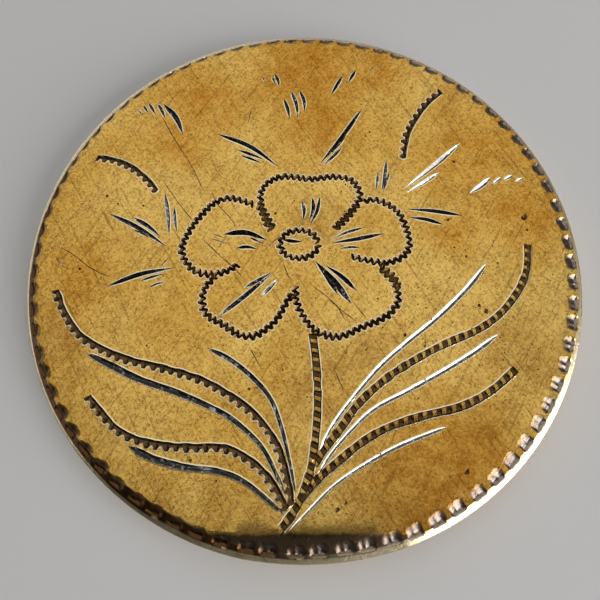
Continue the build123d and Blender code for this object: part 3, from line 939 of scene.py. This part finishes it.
def add_border(surface, angles):
    """The scooped edge, the bevel, the wall and the rounded back edge, ring by ring outward."""
    scoops = make_scoops()
    columns = []
    for a in angles:
        near = [s for s in scoops if abs(s.offset(a)) < s.half_width]
        column = border_rows(a, near)
        top = column[-1][1]
        for i in range(1, EDGE_STEPS + 1):
            turn = math.pi / 2 * i / EDGE_STEPS
            inset = EDGE_ROUND * (1 - math.sin(turn))
            # the rounded edge is painted bright all round: wear and a painted highlight
            column.append((TOKEN_R - inset, top - EDGE_ROUND * (1 - math.cos(turn)), 0.0, 0.0, 1.0))
        column.append((TOKEN_R, THICKNESS * -0.6, 0.0, 0.0, 0.0))  # one more ring down the wall
        for i in range(BACK_STEPS + 1):
            turn = math.pi / 2 * i / BACK_STEPS
            inset = BACK_ROUND * (1 - math.cos(turn))
            column.append((TOKEN_R - inset, BACK_ROUND * (1 - math.sin(turn)) - THICKNESS, 0.0, 0.0, 0.0))
        column.append((BACK_RING_R, -THICKNESS, 0.0, 0.0, 0.0))
        columns.append([
            surface.vertex(
                r * math.cos(a), r * math.sin(a), THICKNESS + z,
                dent=dent, shade_and_dirt=shade_and_dirt_share, bevel=wear_and_highlight,
            )
            for r, z, dent, shade_and_dirt_share, wear_and_highlight in column
        ])
    for first, second in zip(columns, columns[1:] + columns[:1]):
        for k in range(len(first) - 1):
            surface.face([first[k], first[k + 1], second[k + 1], second[k]])


def add_back(surface, angles):
    ring = [(BACK_RING_R * math.cos(a), BACK_RING_R * math.sin(a)) for a in angles]
    places = [Vector(p) for p in ring + scattered(BACK_RING_R - 0.5, BACK_SPACING, [])]
    places, _, faces, _, _, _ = triangulate(places, [], list(range(len(angles))))
    verts = [surface.vertex(p.x, p.y, 0.0) for p in places]
    for face in faces:
        surface.face([verts[i] for i in reversed(face)])


def build_token():
    angles = [math.tau * j / BORDER_STEPS for j in range(BORDER_STEPS)]
    surface = Surface()
    add_field(surface, engrave(), angles)
    add_border(surface, angles)
    add_back(surface, angles)
    return surface.finish("engraved_token")


token = build_token()


# -------- materials

class Nodes:
    """Short calls for adding shader nodes and joining them."""

    def __init__(self, name):
        self.material = bpy.data.materials.new(name)
        self.material.use_nodes = True
        self.tree = self.material.node_tree
        self.shader = self.tree.nodes["Principled BSDF"]

    def join(self, value, socket):
        if hasattr(value, "links"):
            self.tree.links.new(value, socket)
        else:
            socket.default_value = value

    def add(self, kind, inputs=(), output=0, **settings):
        node = self.tree.nodes.new(kind)
        for key, value in settings.items():
            setattr(node, key, value)
        for key, value in dict(inputs).items():
            self.join(value, node.inputs[key])
        return node.outputs[output]

    def math(self, operation, a, b):
        return self.add("ShaderNodeMath", {0: a, 1: b}, operation=operation)

    def times(self, a, b):
        return self.math("MULTIPLY", a, b)

    def noise(self, vector, scale, detail=3.0, roughness=0.5, distortion=0.0):
        inputs = {
            "Vector": vector, "Scale": scale, "Detail": detail,
            "Roughness": roughness, "Distortion": distortion,
        }
        return self.add("ShaderNodeTexNoise", inputs)

    def ramp(self, value, low, high, low_out=0.0, high_out=1.0):
        inputs = {"Value": value, "From Min": low, "From Max": high, "To Min": low_out, "To Max": high_out}
        return self.add("ShaderNodeMapRange", inputs, clamp=True)

    def blend(self, share, first, second, kind="MIX"):
        node = self.tree.nodes.new("ShaderNodeMix")
        node.data_type = "RGBA"
        node.blend_type = kind
        self.join(share, node.inputs[0])
        self.join(first, node.inputs[6])
        self.join(second, node.inputs[7])
        return node.outputs[2]

    def attribute(self, name):
        return self.add("ShaderNodeAttribute", attribute_name=name, output=2)


BRASS_LIGHT = (0.87, 0.572, 0.148, 1)
BRASS = (0.75, 0.438, 0.086, 1)
BRASS_BROWN = (0.37, 0.16, 0.02, 1)
AMBER = (0.60, 0.295, 0.02, 1)
AMBER_TINT = (0.82, 0.61, 0.30, 1)
# pale bevel and edge colour: wear and a painted highlight
WORN_EDGE_AND_HIGHLIGHT = (0.96, 0.85, 0.58, 1)
# near-black colour of the filed foot: painted shade
FILED_FOOT_SHADE = (0.06, 0.04, 0.034, 1)
DARK_SPECK = (0.17, 0.075, 0.015, 1)
# painted shade deep in the cuts
DEEP_CUT_SHADE = (0.03, 0.016, 0.009, 1)
# lit and shaded copies of one cut-wall colour: painted light and shade
LIT_CUT = (0.36, 0.35, 0.33, 1)
SHADED_CUT = (0.045, 0.043, 0.045, 1)
GLINT = (0.85, 0.86, 0.9, 1)
ROCKED_CUT = (0.085, 0.045, 0.02, 1)
# scoop colours: a lit one, and a dark one of dirt and painted shade
SCOOP_LIT = (0.36, 0.30, 0.26, 1)
SCOOP_SHADE_AND_DIRT = (0.095, 0.046, 0.018, 1)
# pale colour of the burrs: a painted highlight along the cuts
BURR_HIGHLIGHT = (1.0, 0.90, 0.62, 1)

# Patches of tone: centre and radius in millimetres
BROWN_PATCHES = [
    ((0.8, 2.2), 1.6), ((0.8, -7.4), 3.2), ((11.3, -5.8), 2.6), ((3.6, -5.8), 2.2), ((9.0, -9.4), 2.6),
    ((-13.0, -5.5), 1.8), ((5.6, -12.4), 4.6),
]
AMBER_PATCHES = [
    ((0.5, 12.8), 4.6), ((1.2, 8.4), 3.2), ((-6.0, 10.8), 3.0), ((10.6, 6.6), 3.6), ((-12.8, -1.0), 3.6),
    ((12.6, 2.4), 3.0), ((6.8, -11.6), 4.4), ((-7.2, 7.2), 1.8), ((8.6, 1.4), 1.8), ((5.0, 12.4), 2.4),
]


def patches(n, mm, breakup, spots):
    """Soft round patches with an uneven outline."""
    cover = 0.0
    for centre, radius in spots:
        on_face = (*centre, THICKNESS)
        away = n.add("ShaderNodeVectorMath", {0: mm, 1: on_face}, output=1, operation="DISTANCE")
        spot = n.ramp(away, radius * 0.2, radius * 1.25, 1.0, 0.0)
        cover = n.math("MAXIMUM", spot, cover)
    return n.times(cover, n.ramp(breakup, 0.3, 0.65, 0.35, 1.0))


def hairlines(n, mm, degrees):
    """Fine handling scratches that run one way, given in degrees from +X."""
    turn = (0, 0, math.radians(degrees))
    along = n.add("ShaderNodeMapping", {0: mm, 2: turn, 3: (3.0, 0.12, 1.0)}, vector_type="TEXTURE")
    streak = n.noise(along, 1.0, 2.0, 0.6)
    return n.ramp(streak, 0.58, 0.72)


def engraved_brass():
    n = Nodes("engraved_brass")
    place = n.add("ShaderNodeTexCoord", output=3)
    mm = n.add("ShaderNodeVectorMath", {0: place, 3: 1000.0}, operation="SCALE")

    broad = n.noise(mm, 0.2, 4.0, 0.55, 0.4)
    middle = n.noise(mm, 0.9, 6.0, 0.65, 0.3)
    grain = n.noise(mm, 7.0, 3.0, 0.65)
    fine = n.noise(mm, 15.0, 2.0, 0.5)

    brown = patches(n, mm, middle, BROWN_PATCHES)
    amber = patches(n, mm, middle, AMBER_PATCHES)
    hairs = n.math("MAXIMUM", hairlines(n, mm, 58), hairlines(n, mm, 121))

    colour = n.blend(n.ramp(broad, 0.4, 0.6), BRASS, BRASS_LIGHT)
    colour = n.blend(n.times(n.ramp(middle, 0.45, 0.75), 0.3), colour, BRASS_BROWN)
    colour = n.blend(n.times(amber, 0.5), colour, AMBER)
    colour = n.blend(n.times(brown, 0.65), colour, BRASS_BROWN)
    colour = n.blend(n.ramp(grain, 0.48, 0.72, 0.0, 0.62), colour, BRASS_BROWN)
    colour = n.blend(n.ramp(grain, 0.5, 0.3, 0.0, 0.4), colour, BRASS_LIGHT)
    colour = n.blend(n.times(amber, 0.9), colour, AMBER_TINT, kind="MULTIPLY")
    colour = n.blend(n.times(hairs, 0.5), colour, DARK_SPECK)
    specks = n.times(n.ramp(fine, 0.51, 0.65), n.ramp(grain, 0.4, 0.58))
    colour = n.blend(n.times(specks, 0.82), colour, DARK_SPECK)

    depth = n.attribute("cut_depth")
    bright = n.attribute("bright_wall")
    # smooth cut walls painted from shaded to lit by their group: painted light and shade
    cut_colour = n.blend(n.attribute("cut_light"), SHADED_CUT, LIT_CUT)
    glints = n.ramp(n.noise(mm, 4.5, 2.0, 0.5), 0.57, 0.64, 0.0, 0.8)
    cut_colour = n.blend(glints, cut_colour, GLINT)
    rocked = n.attribute("rocked_wall")
    lip = n.attribute("lip")
    dent = n.attribute("dent")
    bevel = n.attribute("bevel")
    y = n.add("ShaderNodeSeparateXYZ", {0: mm}, output=1)
    z = n.add("ShaderNodeSeparateXYZ", {0: mm}, output=2)
    # mask of the filed foot at the bottom, which is painted nearly black as painted shade
    foot = n.ramp(n.math("ADD", y, n.times(middle, 0.35)), FOOT_LINE_Y + 0.16, FOOT_LINE_Y)
    foot = n.times(foot, n.ramp(z, THICKNESS - 1.0, THICKNESS - 0.65))
    foot = n.times(foot, n.math("SUBTRACT", 1.0, n.times(bevel, 0.75)))
    # burrs painted pale: a painted highlight along the cuts
    colour = n.blend(n.ramp(lip, 0.0, 0.7), colour, BURR_HIGHLIGHT)
    colour = n.blend(n.times(bright, 0.95), colour, cut_colour)
    colour = n.blend(n.times(rocked, 0.95), colour, ROCKED_CUT)
    # cuts painted darker the deeper they are: painted shade
    colour = n.blend(n.ramp(depth, 0.35, 1.2, 0.0, 0.5), colour, DEEP_CUT_SHADE)
    # bevel and edge painted pale: wear and a painted highlight, brightest at the upper left and the lower
    # right
    colour = n.blend(n.times(bevel, 0.75), colour, WORN_EDGE_AND_HIGHLIGHT)
    # filed foot painted nearly black: painted shade
    colour = n.blend(n.times(foot, 0.92), colour, FILED_FOOT_SHADE)
    # scoops and the lower-left bevel painted dark with dirt and painted shade, lighter towards the right
    # where the light falls
    scoop_colour = n.blend(n.attribute("shade_and_dirt"), SCOOP_LIT, SCOOP_SHADE_AND_DIRT)
    colour = n.blend(dent, colour, scoop_colour)

    rough = n.ramp(middle, 0.2, 0.8, 0.22, 0.34)
    rough = n.math("ADD", rough, n.ramp(grain, 0.4, 0.8, 0.0, 0.1))
    rough = n.math("SUBTRACT", rough, n.times(bright, 0.17))
    rough = n.math("MAXIMUM", rough, 0.1)
    n.join(colour, n.shader.inputs["Base Color"])
    n.join(rough, n.shader.inputs["Roughness"])
    n.shader.inputs["Metallic"].default_value = 1.0

    height = n.times(grain, 0.7)
    height = n.math("ADD", height, n.times(middle, 0.8))
    height = n.math("SUBTRACT", height, n.times(hairs, 0.25))
    calm = n.math("SUBTRACT", 1.0, n.times(bright, 0.8))
    height = n.times(height, calm)
    bump = n.add("ShaderNodeBump", {"Strength": 0.6, "Distance": 0.00003, "Height": height})
    n.join(bump, n.shader.inputs["Normal"])
    return n.material


token.data.materials.append(engraved_brass())
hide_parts("token")
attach(token, "root")


# -------- floor, lights and camera

def pale_floor():
    n = Nodes("pale_floor")
    n.shader.inputs["Base Color"].default_value = (0.62, 0.61, 0.6, 1)
    n.shader.inputs["Roughness"].default_value = 0.8
    half = 1.5
    data = bpy.data.meshes.new("floor")
    corners = [(-half, -half, 0), (half, -half, 0), (half, half, 0), (-half, half, 0)]
    data.from_pydata(corners, [], [(0, 1, 2, 3)])
    data.materials.append(n.material)
    floor = add_object("floor", data)
    floor.location.z = -0.00002  # just clear of the token's back


def softbox(name, place, size, brightness):
    """A rectangular light in metres that looks at the token; brightness is its radiance."""
    light = bpy.data.lights.new(name, "AREA")
    light.shape = "RECTANGLE"
    light.size, light.size_y = size
    light.energy = brightness * math.pi * size[0] * size[1]
    lamp = add_object(name, light)
    lamp.location = place
    lamp.rotation_euler = (-lamp.location).to_track_quat("-Z", "Y").to_euler()


def toward(azimuth, elevation, distance):
    """A place seen from the token at an azimuth counted from +X towards +Y, and an elevation."""
    a, e = math.radians(azimuth), math.radians(elevation)
    return Vector((math.cos(a) * math.cos(e), math.sin(a) * math.cos(e), math.sin(e))) * distance


def camera():
    data = bpy.data.cameras.new("camera")
    data.lens = 26.5
    data.sensor_width = 36.0
    data.clip_start = 0.001
    data.clip_end = 10.0
    cam = add_object("camera", data)
    cam.location = Vector((0.0, -9.03, 23.06 + THICKNESS)) * MM
    target = Vector((-0.16, -2.57, THICKNESS)) * MM
    look = (target - cam.location).to_track_quat("-Z", "Y")
    roll = Quaternion((0, 0, 1), math.radians(-1.68))
    cam.rotation_mode = "QUATERNION"
    cam.rotation_quaternion = look @ roll
    bpy.context.scene.camera = cam


pale_floor()
softbox("overhead", toward(90, 68, 0.28), (0.5, 0.46), 0.8)
softbox("key", toward(-36, 20, 0.30), (0.32, 0.19), 5.0)
softbox("edge", toward(150, 8, 0.35), (1.2, 0.07), 1.7)
softbox("front", toward(272, 36, 0.30), (0.3, 0.05), 0.45)
world = bpy.data.worlds.new("studio")
world.use_nodes = True
background = world.node_tree.nodes["Background"]
background.inputs[0].default_value = (0.5, 0.5, 0.5, 1)
background.inputs[1].default_value = 0.05
bpy.context.scene.world = world
bpy.context.scene.view_settings.view_transform = "Standard"
camera()
